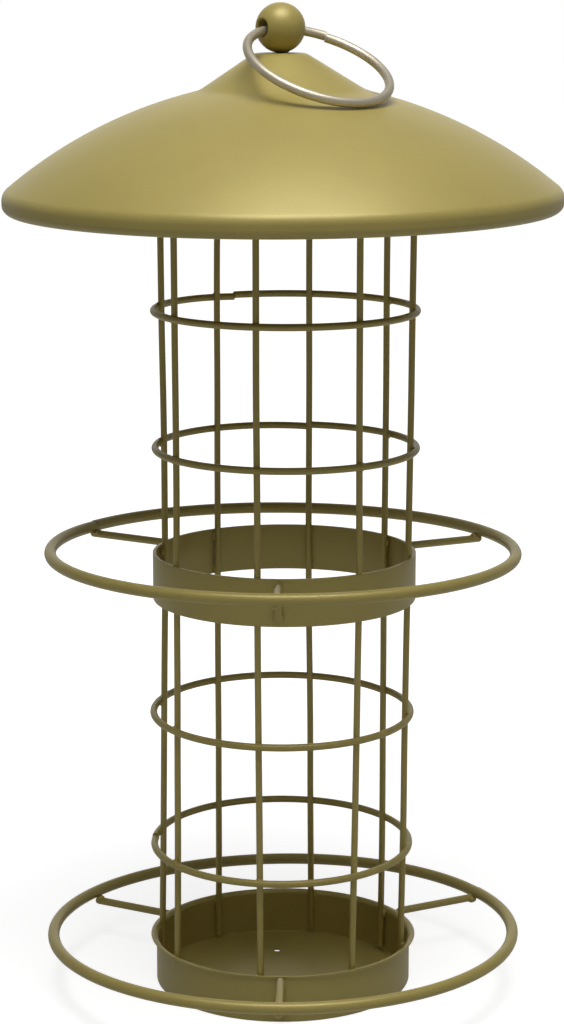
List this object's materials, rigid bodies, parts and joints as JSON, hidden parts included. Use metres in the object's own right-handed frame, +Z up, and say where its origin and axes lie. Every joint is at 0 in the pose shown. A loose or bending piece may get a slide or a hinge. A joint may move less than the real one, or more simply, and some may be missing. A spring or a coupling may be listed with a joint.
{
  "type": "hanging suet ball feeder",
  "caption": "Round wire cage feeder with a tray, a perch ring at the tray and another at mid height, a lift-off dome roof locked by a turning ball, and a hanging ring.",
  "frame": {"origin": "centre of the tray's underside, on the surface the feeder stands on", "axes": "+Z up along the feeder's axis; the front is -Y; +X is to the right seen from the front"},
  "size_m": [0.177, 0.177, 0.3197],
  "materials": {
    "gold_paint": "antique gold metallic paint on steel, satin",
    "zinc_plate": "bright zinc plate",
    "nickel_plate": "nickel-plated round wire"
  },
  "bodies": {
    "cage": {"tray": "gold_paint", "middle_band": "gold_paint", "top_collar": "gold_paint", "latch_tab_1": "gold_paint", "latch_tab_2": "gold_paint", "cage_wire_1": "gold_paint", "cage_wire_2": "gold_paint", "cage_wire_3": "gold_paint", "cage_wire_4": "gold_paint", "cage_wire_5": "gold_paint", "cage_wire_6": "gold_paint", "cage_wire_7": "gold_paint", "cage_wire_8": "gold_paint", "cage_hoop_1": "gold_paint", "cage_hoop_2": "gold_paint", "cage_hoop_3": "gold_paint", "cage_hoop_4": "gold_paint", "lower_perch_ring": "gold_paint", "lower_spoke_1": "gold_paint", "lower_spoke_2": "gold_paint", "lower_spoke_3": "gold_paint", "upper_perch_ring": "gold_paint", "upper_spoke_1": "gold_paint", "upper_spoke_2": "gold_paint", "upper_spoke_3": "gold_paint"},
    "roof": {"roof": "gold_paint"},
    "latch": {"finial_ball": "gold_paint", "latch_stud": "zinc_plate", "roof_washer": "zinc_plate", "roof_nut": "zinc_plate", "bar_upper_nut": "zinc_plate", "latch_bar": "zinc_plate", "bar_lower_nut": "zinc_plate"},
    "ring": {"hanging_ring": "nickel_plate"}
  },
  "joints": [
    {"name": "roof_lift", "type": "slide", "parent": "cage", "child": "roof", "axis": [0, 0, 1], "range_m": [0, 0.1]},
    {"name": "latch_turn", "type": "hinge", "parent": "roof", "child": "latch", "pos_m": [0, 0, 0.30412], "axis": [0, 0, 1], "range_deg": [0, 45]},
    {"name": "ring_swing", "type": "hinge", "parent": "latch", "child": "ring", "pos_m": [0, 0, 0.3119], "axis": [-0.7986, -0.6018, 0], "range_deg": [0, 234.5]}
  ]
}
